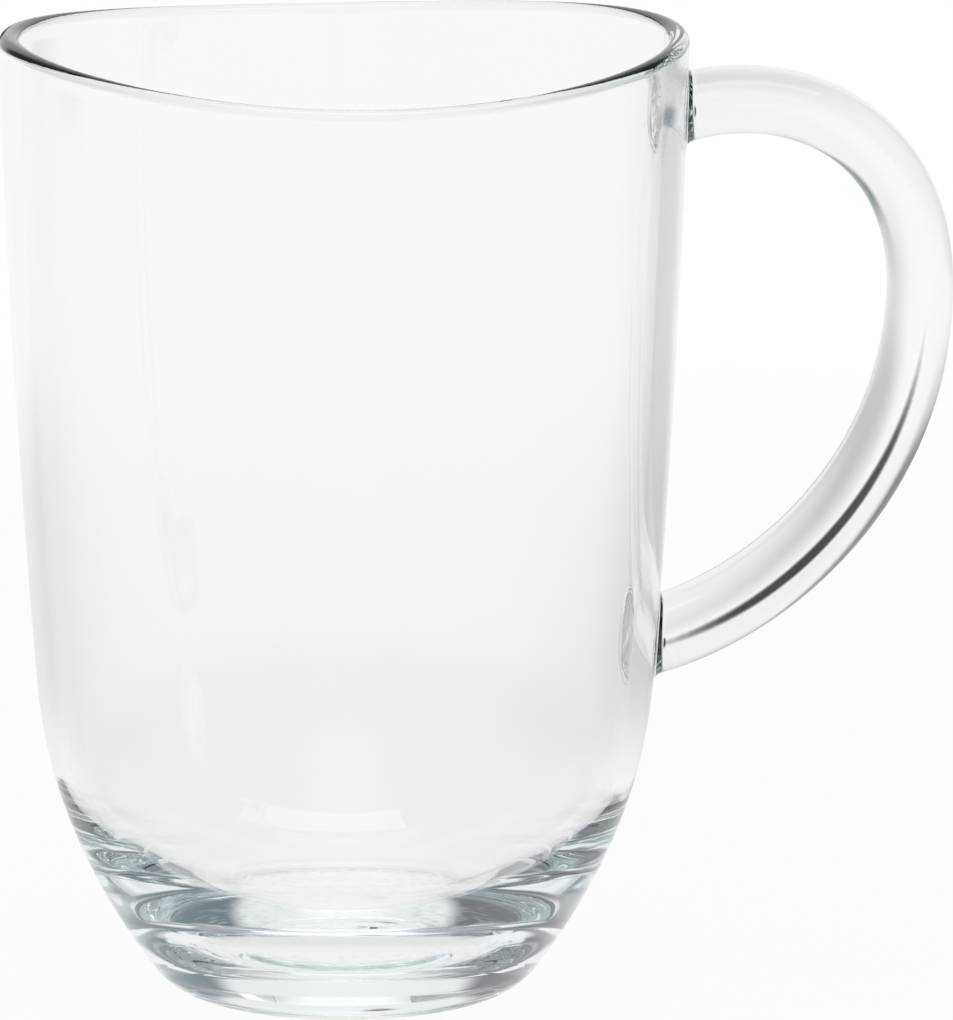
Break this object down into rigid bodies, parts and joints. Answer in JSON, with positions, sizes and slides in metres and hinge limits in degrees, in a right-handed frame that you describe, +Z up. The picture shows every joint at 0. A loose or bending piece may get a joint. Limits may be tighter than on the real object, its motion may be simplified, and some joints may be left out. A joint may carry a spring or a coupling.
{
  "type": "latte glass",
  "caption": "Tall clear glass for milk coffee, with a rounded thick base, a gently dipping lip and a solid glass handle fused to its side.",
  "frame": {"origin": "centre of the foot, on the surface that the glass stands on", "axes": "+Z up along the axis of the body, +X towards the handle"},
  "size_m": [0.1184, 0.085, 0.1206],
  "materials": {
    "body_glass": "clear, fire polished, faintly green in the thick",
    "handle_glass": "clear, fire polished"
  },
  "bodies": {
    "root": {"glass_body": "body_glass", "handle": "handle_glass"}
  },
  "joints": []
}
